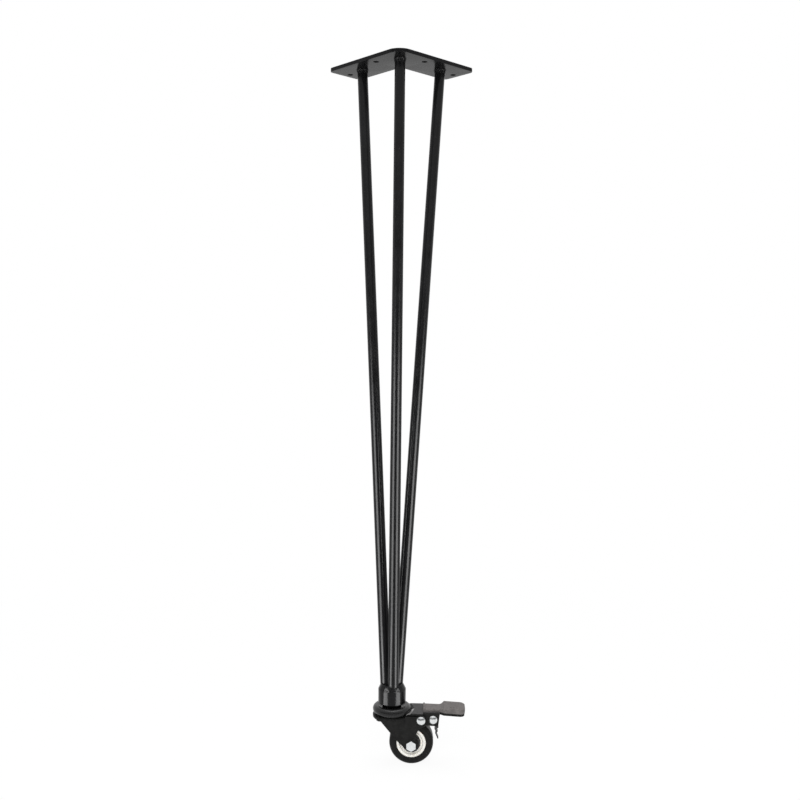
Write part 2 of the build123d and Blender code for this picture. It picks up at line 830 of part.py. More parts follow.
def main():
    os.makedirs("parts", exist_ok=True)
    nodes = {name: rod(name) for name in rod_tops}
    nodes.update(
        mounting_plate=mounting_plate(),
        plate_welds=plate_welds(),
        collar=collar(),
        collar_weld=collar_weld(),
        caster_stem=caster_stem(),
        upper_race=upper_race(),
        lower_race=lower_race(),
        upper_balls=swivel_balls(upper_ball_z),
        lower_balls=swivel_balls(lower_ball_z),
        yoke=yoke(),
        axle_bolt=axle_bolt(),
        axle_nut=axle_nut(),
        axle_sleeve=axle_sleeve(),
        axle_spacers=axle_spacers(),
        bearing_inner_rings=bearing_inner_rings(),
        pivot_rivet=pivot_rivet(),
        wheel_core=wheel_core(),
        tyre=tyre(),
        dust_caps=dust_caps(),
        bearing_outer_rings=bearing_outer_rings(),
        bearing_balls=bearing_balls(),
        bearing_shields=bearing_shields(),
        brake_lever=brake_lever(),
        pedal_cover=pedal_cover(),
        brake_shoe=brake_shoe(),
        shoe_rivet=shoe_rivet(),
    )
    for name, piece in nodes.items():
        export_step(piece, f"parts/{name}.step")


main()
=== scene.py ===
import json
import math
import bmesh
import bpy
from mathutils import Matrix, Vector, noise


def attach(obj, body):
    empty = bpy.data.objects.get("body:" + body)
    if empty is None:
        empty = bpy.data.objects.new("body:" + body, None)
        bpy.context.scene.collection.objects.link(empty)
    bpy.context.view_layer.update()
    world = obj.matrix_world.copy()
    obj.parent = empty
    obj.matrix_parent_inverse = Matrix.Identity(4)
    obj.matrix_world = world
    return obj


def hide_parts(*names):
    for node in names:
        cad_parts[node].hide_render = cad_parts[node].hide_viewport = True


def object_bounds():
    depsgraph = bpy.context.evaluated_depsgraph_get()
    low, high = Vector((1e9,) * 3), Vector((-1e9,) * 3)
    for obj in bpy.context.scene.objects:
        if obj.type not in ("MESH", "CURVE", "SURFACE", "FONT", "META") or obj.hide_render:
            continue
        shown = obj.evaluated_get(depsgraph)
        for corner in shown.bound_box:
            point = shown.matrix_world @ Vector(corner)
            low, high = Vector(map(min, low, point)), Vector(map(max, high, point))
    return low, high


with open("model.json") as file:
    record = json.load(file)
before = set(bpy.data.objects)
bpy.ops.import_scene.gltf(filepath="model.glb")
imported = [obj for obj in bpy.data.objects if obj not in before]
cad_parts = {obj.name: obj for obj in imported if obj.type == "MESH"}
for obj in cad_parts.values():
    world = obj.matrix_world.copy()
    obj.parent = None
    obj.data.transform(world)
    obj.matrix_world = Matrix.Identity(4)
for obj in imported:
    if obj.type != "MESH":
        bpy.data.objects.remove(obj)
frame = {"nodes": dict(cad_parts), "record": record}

cadBox = [list(corner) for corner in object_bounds()]
nodes = frame["nodes"]
scene = bpy.context.scene
toMetres = Matrix.Scale(0.001, 4)
toMillimetres = Matrix.Scale(1000, 4)
squareMillimetre = 1e-6  # in square metres
quarterTurn = Matrix.Rotation(math.radians(90), 4, "X")
footPlace = Matrix.Translation((0, -77, -711))  # swivel axis, at the collar's bottom face
axlePlace = footPlace @ Matrix.Translation((21.4, 0, -41.288)) @ quarterTurn
print("frame loaded,", len(nodes), "nodes")


# node helpers

def startFinish(name):
    finish = bpy.data.materials.new(name)
    finish.use_nodes = True
    tree = finish.node_tree
    shader = tree.nodes["Principled BSDF"]
    coords = tree.nodes.new("ShaderNodeTexCoord")
    return finish, tree, shader, coords.outputs["Object"]


def addNoise(tree, coords, scale, detail, rough=0.55, stretch=None):
    if stretch:
        mapping = tree.nodes.new("ShaderNodeMapping")
        mapping.inputs["Scale"].default_value = stretch
        tree.links.new(coords, mapping.inputs["Vector"])
        coords = mapping.outputs["Vector"]
    node = tree.nodes.new("ShaderNodeTexNoise")
    node.inputs["Scale"].default_value = scale
    node.inputs["Detail"].default_value = detail
    node.inputs["Roughness"].default_value = rough
    tree.links.new(coords, node.inputs["Vector"])
    return node.outputs["Fac"]


def addRange(tree, value, low, high, fromLow=0.35, fromHigh=0.65):
    node = tree.nodes.new("ShaderNodeMapRange")
    node.inputs["From Min"].default_value = fromLow
    node.inputs["From Max"].default_value = fromHigh
    node.inputs["To Min"].default_value = low
    node.inputs["To Max"].default_value = high
    tree.links.new(value, node.inputs["Value"])
    return node.outputs["Result"]


def addMath(tree, operation, first, second):
    node = tree.nodes.new("ShaderNodeMath")
    node.operation = operation
    for socket, value in zip(node.inputs, (first, second)):
        if isinstance(value, (int, float)):
            socket.default_value = value
        else:
            tree.links.new(value, socket)
    return node.outputs["Value"]


def addBump(tree, shader, height, strength, distance, under=None):
    bump = tree.nodes.new("ShaderNodeBump")
    bump.inputs["Strength"].default_value = strength
    bump.inputs["Distance"].default_value = distance
    tree.links.new(height, bump.inputs["Height"])
    if under:
        tree.links.new(under, bump.inputs["Normal"])
    tree.links.new(bump.outputs["Normal"], shader.inputs["Normal"])
    return bump.outputs["Normal"]


def paintBy(tree, shader, value, look):
    # base colour from the look's dark to its light, between its two stops
    ramp = tree.nodes.new("ShaderNodeValToRGB")
    points = ramp.color_ramp.elements
    for point, place, tone in zip(points, look["stops"], ("dark", "light")):
        point.position = place
        point.color = (*look[tone], 1)
    tree.links.new(value, ramp.inputs["Fac"])
    tree.links.new(ramp.outputs["Color"], shader.inputs["Base Color"])


def glossBy(tree, shader, value, look):
    gloss = addRange(tree, value, look["smooth"], look["rough"])
    tree.links.new(gloss, shader.inputs["Roughness"])


def setSockets(shader, look):
    for socketName, value in look["sockets"].items():
        shader.inputs[socketName].default_value = value


def makeFinish(name, look, sheen="cloud", relief="grain"):
    # cloud tints the finish; the two named noises vary its gloss and roughen its surface
    finish, tree, shader, coords = startFinish(name)
    kinds = dict.fromkeys(("cloud", sheen, relief))
    noises = {kind: addNoise(tree, coords, *look[kind]) for kind in kinds}
    paintBy(tree, shader, noises["cloud"], look)
    glossBy(tree, shader, noises[sheen], look)
    setSockets(shader, look)
    addBump(tree, shader, noises[relief], *look["bump"])
    return finish


# finishes: a noise is scale and detail, then roughness and stretch where it is drawn out;
# a bump is strength and distance

powderCoatLook = {
    "dark": (0.0042, 0.0042, 0.0045), "light": (0.0072, 0.0072, 0.0077), "stops": (0.36, 0.64),
    "cloud": (38, 4), "cloudShare": 0.7, "grain": (5200, 2), "grainShare": 0.3, "peel": (1500, 1),
    "peelBump": (0.02, 0.00003), "grainBump": (0.02, 0.00001),
    "rod": {"smooth": 0.19, "rough": 0.25, "sockets": {"Specular IOR Level": 0.15}},
    "plate": {"smooth": 0.2, "rough": 0.27, "sockets": {"Specular IOR Level": 0.074}},
    "collar": {"smooth": 0.16, "rough": 0.21, "sockets": {"Specular IOR Level": 0.13}},
}


def makePowderCoat(where):
    look = {**powderCoatLook, **powderCoatLook[where]}
    finish, tree, shader, coords = startFinish(where + "PowderCoat")
    cloud = addNoise(tree, coords, *look["cloud"])
    grain = addNoise(tree, coords, *look["grain"])
    peel = addNoise(tree, coords, *look["peel"])
    tone = addMath(tree, "MULTIPLY_ADD", cloud, look["cloudShare"])
    tree.links.new(addMath(tree, "MULTIPLY", grain, look["grainShare"]), tone.node.inputs[2])
    paintBy(tree, shader, tone, look)
    glossBy(tree, shader, cloud, look)
    setSockets(shader, look)
    first = addBump(tree, shader, peel, *look["peelBump"])
    addBump(tree, shader, grain, *look["grainBump"], first)
    return finish


pressedBlackLook = {
    "fork": {"dark": (0.012, 0.012, 0.0117), "light": (0.0175, 0.0175, 0.017)},
    # painted light: a lighter copy of the fork's paint for the lever's level top, where the light
    # falls
    "paintedLightTop": {"dark": (0.043, 0.0418, 0.0424), "light": (0.058, 0.0565, 0.0572)},
    "stops": (0.35, 0.68), "smooth": 0.2, "rough": 0.29, "sockets": {"Specular IOR Level": 0.04},
    "cloud": (160, 4), "scratch": (900, 2, 0.6, (0.12, 1, 1)),
    "grain": (2200, 2), "bump": (0.12, 0.00003),
}


def makePressedBlack(where):
    look = {**pressedBlackLook, **pressedBlackLook[where]}
    return makeFinish(where + "Paint", look, sheen="scratch")


raceGreyLook = {
    "dark": (0.006, 0.006, 0.0061), "light": (0.01, 0.01, 0.0102), "stops": (0.34, 0.66),
    "smooth": 0.2, "rough": 0.28, "sockets": {"Specular IOR Level": 0.3},
    "cloud": (240, 5), "grain": (3800, 2), "bump": (0.18, 0.00004),
}
zincLook = {
    "dark": (0.68, 0.7, 0.705), "light": (0.78, 0.8, 0.803), "stops": (0.32, 0.6),
    "smooth": 0.2, "rough": 0.28, "sockets": {"Metallic": 1.0},
    "cloud": (420, 4), "grain": (3000, 2), "bump": (0.12, 0.00003),
}
bearingLook = {
    "dark": (0.48, 0.48, 0.49), "light": (0.62, 0.62, 0.63), "stops": (0.35, 0.65),
    "smooth": 0.14, "rough": 0.24, "sockets": {"Metallic": 1.0},
    "cloud": (500, 3), "ground": (2600, 2, 0.5, (1, 0.2, 1)), "bump": (0.05, 0.00002),
}
ivoryLook = {
    "dark": (0.785, 0.766, 0.712), "light": (0.88, 0.864, 0.812), "stops": (0.3, 0.62),
    "smooth": 0.38, "rough": 0.5,
    "sockets": {"Subsurface Weight": 0.08, "Subsurface Radius": (0.0012, 0.001, 0.0007)},
    "cloud": (130, 3), "flow": (700, 3), "bump": (0.08, 0.00004),
}
capLook = {
    "dark": (0.008, 0.008, 0.0083), "light": (0.014, 0.014, 0.0145), "stops": (0.35, 0.65),
    "smooth": 0.34, "rough": 0.48, "sockets": {"Specular IOR Level": 0.3},
    "cloud": (260, 4), "grain": (3000, 2), "bump": (0.12, 0.00004),
}
pedalLook = {
    "dark": (0.11, 0.102, 0.0995), "light": (0.15, 0.139, 0.1355), "stops": (0.34, 0.66),
    "smooth": 0.48, "rough": 0.62, "sockets": {"Specular IOR Level": 0.15},
    "cloud": (210, 4), "grain": (3400, 2), "bump": (0.3, 0.00005),
}
springLook = {
    "dark": (0.03, 0.03, 0.031), "light": (0.06, 0.06, 0.062), "stops": (0.34, 0.66),
    "smooth": 0.3, "rough": 0.45, "sockets": {"Metallic": 0.85},
    "cloud": (330, 4), "rolled": (1800, 2, 0.5, (1, 0.1, 1)), "bump": (0.08, 0.00003),
}
# painted highlight: a lighter, part-metallic finish for the near half of the lever's slanted
# corner, standing for light glinting off it
paintedHighlightLook = {
    "dark": (0.17, 0.168, 0.167), "light": (0.27, 0.267, 0.265), "stops": (0.34, 0.6),
    "smooth": 0.26, "rough": 0.42, "sockets": {"Metallic": 0.3},
    "cloud": (700, 4), "scratch": (1600, 2, 0.6, (1, 0.15, 1)), "bump": (0.1, 0.00003),
}

treadLook = {
    "dark": (0.0088, 0.0085, 0.0084), "light": (0.014, 0.0137, 0.0135), "stops": (0.34, 0.66),
    "smooth": 0.28, "rough": 0.4, "sockets": {"Specular IOR Level": 0.08},
    "cloud": (190, 5), "grain": (2600, 3), "bump": (0.14, 0.00005),
    "middle": -0.077, "line": (0.00008, 0.00028), "lineBump": (0.5, 0.00015),
}


def makeTread():
    look = treadLook
    finish, tree, shader, coords = startFinish("blackTread")
    cloud = addNoise(tree, coords, *look["cloud"])
    grain = addNoise(tree, coords, *look["grain"])
    paintBy(tree, shader, cloud, look)
    glossBy(tree, shader, cloud, look)
    setSockets(shader, look)
    # the mould's parting line runs round the middle of the tread
    split = tree.nodes.new("ShaderNodeSeparateXYZ")
    tree.links.new(coords, split.inputs["Vector"])
    aside = addMath(tree, "SUBTRACT", split.outputs["Y"], look["middle"])
    line = addRange(tree, addMath(tree, "ABSOLUTE", aside, 0.0), 1.0, 0.0, *look["line"])
    first = addBump(tree, shader, line, *look["lineBump"])
    addBump(tree, shader, grain, *look["bump"], first)
    return finish


finishes = {
    "black_coat": makePowderCoat("rod"),
    "black_steel": makePressedBlack("fork"),
    "race_steel": makeFinish("greyRaceCoat", raceGreyLook),
    "zinc": makeFinish("brightZinc", zincLook),
    "bearing_steel": makeFinish("groundBearingSteel", bearingLook, "ground", "ground"),
    "core_plastic": makeFinish("ivoryMouldedCore", ivoryLook, "flow", "flow"),
    "cap_plastic": makeFinish("blackCapPlastic", capLook),
    "tread": makeTread(),
    "pedal_plastic": makeFinish("greyPedalPlastic", pedalLook),
    "spring_steel": makeFinish("darkSpringSteel", springLook, "rolled", "rolled"),
}
slotOfNode = {part["node"]: part["material_slot"] for part in frame["record"]["subparts"]}
print("finishes made:", len(finishes))

# every CAD node starts with its own finish; the pieces below take over most of them
for nodeName, node in nodes.items():
    node.data.materials.clear()
    node.data.materials.append(finishes[slotOfNode[nodeName]])


# mesh helpers, in millimetres

sharpOver = {"plate": 25, "turned": 32, "pressed": 40, "rough": 60}  # degrees between faces
mergeWithin = {"turned": 0.0005, "copied": 0.002, "softened": 0.01}
flatWithin = 0.4  # degrees between faces


def addPiece(name, bm, body, slotName, nodeNames, sharp="turned", finish=None, flat=None):
    bmesh.ops.transform(bm, matrix=toMetres, verts=bm.verts)
    mesh = bpy.data.meshes.new(name)
    bm.to_mesh(mesh)
    bm.free()
    mesh.materials.append(finish or finishes[slotName])
    mesh.shade_smooth()
    mesh.set_sharp_from_angle(angle=math.radians(sharpOver[sharp]))
    # faces over this area, in square millimetres, stay flat up to their edges
    if flat:
        for face in mesh.polygons:
            if face.area > flat * squareMillimetre:
                for corner in face.loop_indices:
                    mesh.edges[mesh.loops[corner].edge_index].use_edge_sharp = True
    piece = bpy.data.objects.new(name, mesh)
    scene.collection.objects.link(piece)
    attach(piece, body)
    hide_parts(*nodeNames)
    return piece


def joinInto(target, source):
    step = bpy.data.meshes.new("step")
    source.to_mesh(step)
    source.free()
    target.from_mesh(step)
    bpy.data.meshes.remove(step)


def mirrored(corners):
    return [(r, -z, rounding) for r, z, rounding in reversed(corners)]


def turnProfile(corners, steps, arc=5):
    # corners are radius, height and corner rounding; the loop is closed
    bm = bmesh.new()
    points = [(bm.verts.new((r, 0, z)), rounding) for r, z, rounding in corners]
    bm.faces.new([v for v, rounding in points])
    for size in sorted({rounding for v, rounding in points if rounding}):
        group = [v for v, rounding in points if rounding == size]
        bmesh.ops.bevel(
            bm, geom=group, offset=size, segments=arc, profile=0.5, affect="VERTICES",
            material=-1,
        )
    bmesh.ops.delete(bm, geom=bm.faces[:], context="FACES_ONLY")
    bmesh.ops.spin(
        bm, geom=bm.verts[:] + bm.edges[:], cent=(0, 0, 0), axis=(0, 0, 1), dvec=(0, 0, 0),
        angle=math.tau, steps=steps, use_merge=True,
    )
    bmesh.ops.remove_doubles(bm, verts=bm.verts[:], dist=mergeWithin["turned"])
    loose = [e for e in bm.edges if not e.link_faces]
    bmesh.ops.delete(bm, geom=loose, context="EDGES")
    bmesh.ops.recalc_face_normals(bm, faces=bm.faces[:])
    return bm


def copyNode(nodeName):
    # a CAD node's triangles, welded together, in millimetres
    bm = bmesh.new()
    bm.from_mesh(nodes[nodeName].data)
    bmesh.ops.transform(bm, matrix=toMillimetres, verts=bm.verts)
    bmesh.ops.remove_doubles(bm, verts=bm.verts[:], dist=mergeWithin["copied"])
    return bm


def joinFlats(bm):
    bmesh.ops.dissolve_limit(
        bm, angle_limit=math.radians(flatWithin), use_dissolve_boundaries=False,
        verts=bm.verts[:], edges=bm.edges[:],
    )
    return bm


def softenEdges(bm, width, segments=2, over=35):
    joinFlats(bm)
    limit = math.radians(over)
    sharp = [e for e in bm.edges if len(e.link_faces) == 2 and e.calc_face_angle() > limit]
    bmesh.ops.bevel(
        bm, geom=sharp, offset=width, segments=segments, profile=0.5, affect="EDGES",
        material=-1, clamp_overlap=False,
    )
    return bm


# leg

rodLook = {
    "radius": 6.0, "sides": 96, "top": -4.2, "bottom": -695.4, "spare": 12,
    "tops": {
        "center_rod": (0, 0), "left_rod": (-45.255, 45.255), "right_rod": (45.255, 45.255),
    },
    "feet": {
        "center_rod": (1.366, -84.0275), "left_rod": (-6.769, -74.669),
        "right_rod": (5.403, -72.303),
    },
}


def rodEnds(name):
    look = rodLook
    top = Vector((*look["tops"][name], look["top"]))
    bottom = Vector((*look["feet"][name], look["bottom"]))
    return top, bottom


def makeRod(name):
    # made a little too long, then cut level at both ends
    look = rodLook
    top, bottom = rodEnds(name)
    lean = top - bottom
    turn = lean.to_track_quat("Z", "Y").to_matrix().to_4x4()
    bm = bmesh.new()
    bmesh.ops.create_cone(
        bm, cap_ends=True, segments=look["sides"], radius1=look["radius"],
        radius2=look["radius"], depth=lean.length + look["spare"],
        matrix=Matrix.Translation((top + bottom) / 2) @ turn,
    )
    for end, direction in ((top, 1), (bottom, -1)):
        bmesh.ops.bisect_plane(
            bm, geom=bm.verts[:] + bm.edges[:] + bm.faces[:], plane_co=end,
            plane_no=(0, 0, direction), clear_outer=True,
        )
        bmesh.ops.holes_fill(bm, edges=[e for e in bm.edges if e.is_boundary])
    bmesh.ops.recalc_face_normals(bm, faces=bm.faces[:])
    return addPiece(name.replace("_rod", "Rod"), bm, "leg", "black_coat", [name])


for rodName in rodLook["tops"]:
    makeRod(rodName)

plateCoat = makePowderCoat("plate")
collarCoat = makePowderCoat("collar")
addPiece(
    "cornerPlate", copyNode("mounting_plate"), "leg", "black_coat", ["mounting_plate"],
    "plate", plateCoat,
)

# the profile is out from the rod's surface, height under the plate and corner rounding
weldLook = {
    "profile": [
        (-0.6, 0, 0), (1.3, 0, 0), (1.22, -0.3, 0.15), (0.62, -0.95, 0.3),
        (0.34, -2.4, 0.4), (0.1, -3.9, 0.1), (-0.6, -3.9, 0),
    ],
    "sides": 136, "arc": 3, "skin": 0.05, "fade": 0.6,
    "beads": 17, "twist": 0.5, "ripple": 0.16, "rippleRest": 0.6,
    "lump": 0.18, "lumpScale": 0.55, "rodShift": 0.1,
    "sag": 0.35, "sagRest": 0.5, "sagBelow": -1,
}


def makePlateWeld(name):
    look = weldLook
    top, bottom = rodEnds(name)
    radius = rodLook["radius"]
    skin = look["skin"]
    corners = [(radius + out, z, rounding) for out, z, rounding in look["profile"]]
    bm = turnProfile(corners, look["sides"], look["arc"])
    # overlapping beads and a little unevenness, fading out on the plate
    for v in bm.verts:
        out = Vector((v.co.x, v.co.y, 0))
        if out.length > radius + skin and v.co.z < -skin:
            turn = math.atan2(v.co.y, v.co.x)
            bead = abs(math.sin(turn * look["beads"] / 2 + look["twist"] * v.co.z))
            uneven = noise.noise(v.co * look["lumpScale"] + top * look["rodShift"])
            fade = min(1, -v.co.z / look["fade"])
            ripple = look["ripple"] * (bead - look["rippleRest"])
            move = fade * (ripple + look["lump"] * uneven)
            room = out.length - radius - skin
            v.co += out.normalized() * max(-room, move)
            if v.co.z < look["sagBelow"]:
                v.co.z -= look["sag"] * fade * (bead - look["sagRest"])
    # the weld leans with its rod
    lean = (bottom - top) / (bottom.z - top.z)
    shear = Matrix.Identity(4)
    shear[0][2] = lean.x
    shear[1][2] = lean.y
    bmesh.ops.transform(bm, matrix=Matrix.Translation(top) @ shear, verts=bm.verts)
    return bm


plateWelds = bmesh.new()
for rodName in rodLook["tops"]:
    joinInto(plateWelds, makePlateWeld(rodName))
addPiece("plateWelds", plateWelds, "leg", "black_coat", ["plate_welds"], "rough", plateCoat)

collarLook = {
    "radius": 14.959, "height": 15.6, "bore": 5.05, "boreDepth": 13.5, "boreEdge": 0.3,
    "chamfer": 1.0, "chamferEdge": 0.25, "shoulder": 0.5, "steps": 144, "arc": 6,
}


def makeCollar():
    look = collarLook
    radius = look["radius"]
    height = look["height"]
    bore = look["bore"]
    chamfer = look["chamfer"]
    bm = turnProfile([
        (0, look["boreDepth"], 0), (bore, look["boreDepth"], 0), (bore, 0, look["boreEdge"]),
        (radius - chamfer, 0, look["chamferEdge"]), (radius, chamfer, look["chamferEdge"]),
        (radius, height, look["shoulder"]), (0, height, 0),
    ], look["steps"], look["arc"])
    bmesh.ops.transform(bm, matrix=footPlace, verts=bm.verts)
    return addPiece("stemCollar", bm, "leg", "black_coat", ["collar"], finish=collarCoat)


makeCollar()

collarWeldLook = {
    "profile": [(0, -0.4, 0), (14.7, -0.4, 0), (14.35, 1.2, 1.0), (12.0, 5.7, 1.2), (0, 5.2, 0)],
    "sides": 120, "arc": 4, "from": 0.2, "fade": 1.5, "lump": 0.3, "sink": 0.4,
    "coarse": 0.32, "fine": 0.9, "fineShare": 0.4,
}


def makeCollarWeld():
    look = collarWeldLook
    bm = turnProfile(look["profile"], look["sides"], look["arc"])
    bmesh.ops.subdivide_edges(bm, edges=bm.edges[:], cuts=1, use_grid_fill=True)
    # uneven weld metal, only ever inwards and down
    for v in bm.verts:
        if v.co.z > look["from"]:
            uneven = noise.noise(v.co * look["coarse"])
            uneven += look["fineShare"] * noise.noise(v.co * look["fine"])
            out = Vector((v.co.x, v.co.y, 0))
            fade = min(1, v.co.z / look["fade"])
            v.co -= out.normalized() * look["lump"] * fade * max(0, 0.5 + 0.5 * uneven)
            v.co.z -= look["sink"] * fade * max(0, uneven)
    place = footPlace @ Matrix.Translation((0, 0, collarLook["height"]))
    bmesh.ops.transform(bm, matrix=place, verts=bm.verts)
    return addPiece("collarWeld", bm, "leg", "black_coat", ["collar_weld"], "rough", collarCoat)


makeCollarWeld()

swivelHead = {
    "upperRace": ("upper_race", "pressed"), "lowerRace": ("lower_race", "pressed"),
    "castorStem": ("caster_stem", "turned"),
    "upperBalls": ("upper_balls", "rough"), "lowerBalls": ("lower_balls", "rough"),
}
for pieceName, (nodeName, sharp) in swivelHead.items():
    addPiece(pieceName, copyNode(nodeName), "leg", slotOfNode[nodeName], [nodeName], sharp)
print("leg done")


# fork

rivetLook = {
    "pivot": {"at": (31.8, -77, -725.488), "shank": 2.5, "grip": 15.5},
    "shoe": {"at": (44.7, -77, -725.288), "shank": 2.3, "grip": 12.5},
    "head": 4.5, "height": 1.8, "arc": 9, "sides": 72,
}


def makeRivet(name, which, body, nodeName):
    look = {**rivetLook, **rivetLook[which]}
    head = look["head"]
    height = look["height"]
    grip = look["grip"]
    dome = (head ** 2 + height ** 2) / (2 * height)  # radius of the domed head
    spread = math.asin(head / dome)
    side = [(look["shank"], grip, 0), (head, grip, 0)]
    for step in range(1, look["arc"] + 1):
        turn = spread * (1 - step / look["arc"])
        side.append((dome * math.sin(turn), grip + height - dome * (1 - math.cos(turn)), 0))
    bm = turnProfile(mirrored(side) + side, look["sides"])
    place = Matrix.Translation(look["at"]) @ quarterTurn
    bmesh.ops.transform(bm, matrix=place, verts=bm.verts)
    return addPiece(name, bm, body, "zinc", [nodeName])


# edge rounding, and the area over which a face stays flat
softLook = {
    "yoke": {"edge": 0.3, "sharp": "pressed", "flat": 20},
    "axle_bolt": {"edge": 0.15, "sharp": "turned", "flat": 8},
    "axle_nut": {"edge": 0.15, "sharp": "turned", "flat": 8},
    "dust_caps": {"edge": 0.2, "sharp": "turned", "flat": None},
    "brake_shoe": {"edge": 0.12, "sharp": "pressed", "flat": 5},
}


def addSoftened(name, nodeName, body):
    look = softLook[nodeName]
    bm = softenEdges(copyNode(nodeName), look["edge"])
    slotName = slotOfNode[nodeName]
    return addPiece(name, bm, body, slotName, [nodeName], look["sharp"], flat=look["flat"])


addSoftened("fork", "yoke", "swivel")
addSoftened("axleBolt", "axle_bolt", "swivel")
addSoftened("axleNut", "axle_nut", "swivel")
makeRivet("pivotRivet", "pivot", "swivel", "pivot_rivet")
print("fork done")


# wheel

treadShape = {
    "radius": 23.8, "half": 10.5, "shoulder": 5.0, "shoulderEdge": 4.98, "flankEdge": 0.4,
    "inner": 15.8, "lip": 10.0, "lipEdge": 0.25, "key": 17.2, "keyHalf": 4.0,
    "steps": 160, "arc": 10,
}


def makeTreadRing():
    look = treadShape
    half = look["half"]
    inner = look["inner"]
    side = [
        (look["key"], look["keyHalf"], 0), (inner, look["keyHalf"], 0),
        (inner, look["lip"], look["lipEdge"]),
        (look["radius"] - look["shoulder"], half, look["flankEdge"]),
        (look["radius"], half, look["shoulderEdge"]),
    ]
    bm = turnProfile(side + mirrored(side), look["steps"], look["arc"])
    bmesh.ops.transform(bm, matrix=axlePlace, verts=bm.verts)
    return addPiece("treadRing", bm, "wheel", "tread", ["tyre"])


coreShape = {
    "side": [
        (5.6, 6.5, 0), (6.5, 6.5, 0), (6.5, 11.5, 0.15), (8.6, 11.5, 0.35), (9.0, 7.5, 0.4),
        (12.2, 7.5, 0.8), (13.0, 9.6, 0.35), (15.8, 9.6, 0.3), (15.8, 4.0, 0), (17.2, 4.0, 0),
    ],
    "steps": 144, "arc": 5,
}


def makeCore():
    look = coreShape
    side = look["side"]
    bm = turnProfile(side + mirrored(side), look["steps"], look["arc"])
    bmesh.ops.transform(bm, matrix=axlePlace, verts=bm.verts)
    return addPiece("wheelCore", bm, "wheel", "core_plastic", ["wheel_core"])


makeTreadRing()
makeCore()
addSoftened("dustCaps", "dust_caps", "wheel")
print("wheel done")


# brake

leverLook = {
    "edge": 0.2, "flat": 8, "ahead": 52.0, "level": 0.985, "steep": 0.85, "slant": -0.1,
    "middle": -77.5, "paintedHighlightSlot": 1, "paintedLightSlot": 2,
}


def makeLever():
    # the level top gets a lighter paint, painted light for the light falling on it from above,
    # and the slanted corner's near half gets a lighter finish as a painted highlight
    look = leverLook
    bm = softenEdges(copyNode("brake_lever"), look["edge"])
    bmesh.ops.remove_doubles(bm, verts=bm.verts[:], dist=mergeWithin["softened"])
    bm.normal_update()
    for face in bm.faces:
        middle = face.calc_center_median()
        if middle.x > look["ahead"] or face.normal.z < look["steep"]:
            continue
        # painted light: the level faces take the lighter copy of the paint
        if face.normal.z > look["level"]:
            face.material_index = look["paintedLightSlot"]
        elif face.normal.x < look["slant"] and middle.y < look["middle"]:
            # painted highlight: slanted faces on the near half take the lighter finish
            face.material_index = look["paintedHighlightSlot"]
    lever = addPiece(
        "brakeLever", bm, "brake", "black_steel", ["brake_lever"], "pressed", flat=look["flat"]
    )
    lever.data.materials.append(makeFinish("paintedHighlightSteel", paintedHighlightLook, "scratch", "scratch"))
    lever.data.materials.append(makePressedBlack("paintedLightTop"))


makeLever()

coverLook = {"flat": 8}
addPiece(
    "pedalCover", joinFlats(copyNode("pedal_cover")), "brake", "pedal_plastic", ["pedal_cover"],
    "pressed", flat=coverLook["flat"],
)
addSoftened("brakeShoe", "brake_shoe", "brake")
makeRivet("shoeRivet", "shoe", "brake", "shoe_rivet")
print("brake done")


# studio

matteLook = {"rough": 0.9, "specular": 0.0}


def startMatte(name, grey):
    finish, tree, shader, coords = startFinish(name)
    shader.inputs["Base Color"].default_value = (grey, grey, grey, 1)
    shader.inputs["Roughness"].default_value = matteLook["rough"]
    shader.inputs["Specular IOR Level"].default_value = matteLook["specular"]
    return finish, tree, shader, coords


def seenDirectly(tree):
    # 1 for what the camera, a reflection or glass sees, 0 for the light that falls on the part
    path = tree.nodes.new("ShaderNodeLightPath").outputs
    seen = addMath(tree, "MAXIMUM", path["Is Camera Ray"], path["Is Glossy Ray"])
    return addMath(tree, "MAXIMUM", seen, path["Is Transmission Ray"])


floorLook = {
    "gap": 0.0001, "radius": 14.0, "sides": 96, "grey": 0.93,
    "shift": (0, 0.077), "near": 0.2, "far": 0.9, "white": 0.93,
}


def makeFloor():
    # white where it is seen, a little less so near the foot, where the shadow stays
    look = floorLook
    level = cadBox[0][2] - look["gap"]
    bm = bmesh.new()
    bmesh.ops.create_circle(
        bm, cap_ends=True, segments=look["sides"], radius=look["radius"],
        matrix=Matrix.Translation((0, 0, level)),
    )
    mesh = bpy.data.meshes.new("studioFloor")
    bm.to_mesh(mesh)
    bm.free()
    finish, tree, shader, coords = startMatte("paleFloor", look["grey"])
    mapping = tree.nodes.new("ShaderNodeMapping")
    mapping.inputs["Location"].default_value = (*look["shift"], -level)
    tree.links.new(coords, mapping.inputs["Vector"])
    length = tree.nodes.new("ShaderNodeVectorMath")
    length.operation = "LENGTH"
    tree.links.new(mapping.outputs["Vector"], length.inputs[0])
    away = length.outputs["Value"]
    fade = addRange(tree, away, look["white"], 1.0, look["near"], look["far"])
    white = tree.nodes.new("ShaderNodeEmission")
    white.inputs["Color"].default_value = (1, 1, 1, 1)
    mix = tree.nodes.new("ShaderNodeMixShader")
    tree.links.new(addMath(tree, "MULTIPLY", fade, seenDirectly(tree)), mix.inputs["Fac"])
    tree.links.new(shader.outputs["BSDF"], mix.inputs[1])
    tree.links.new(white.outputs["Emission"], mix.inputs[2])
    tree.links.new(mix.outputs["Shader"], tree.nodes["Material Output"].inputs["Surface"])
    mesh.materials.append(finish)
    floor = bpy.data.objects.new("studioFloor", mesh)
    scene.collection.objects.link(floor)


makeFloor()

worldLook = {"fill": 0.42}


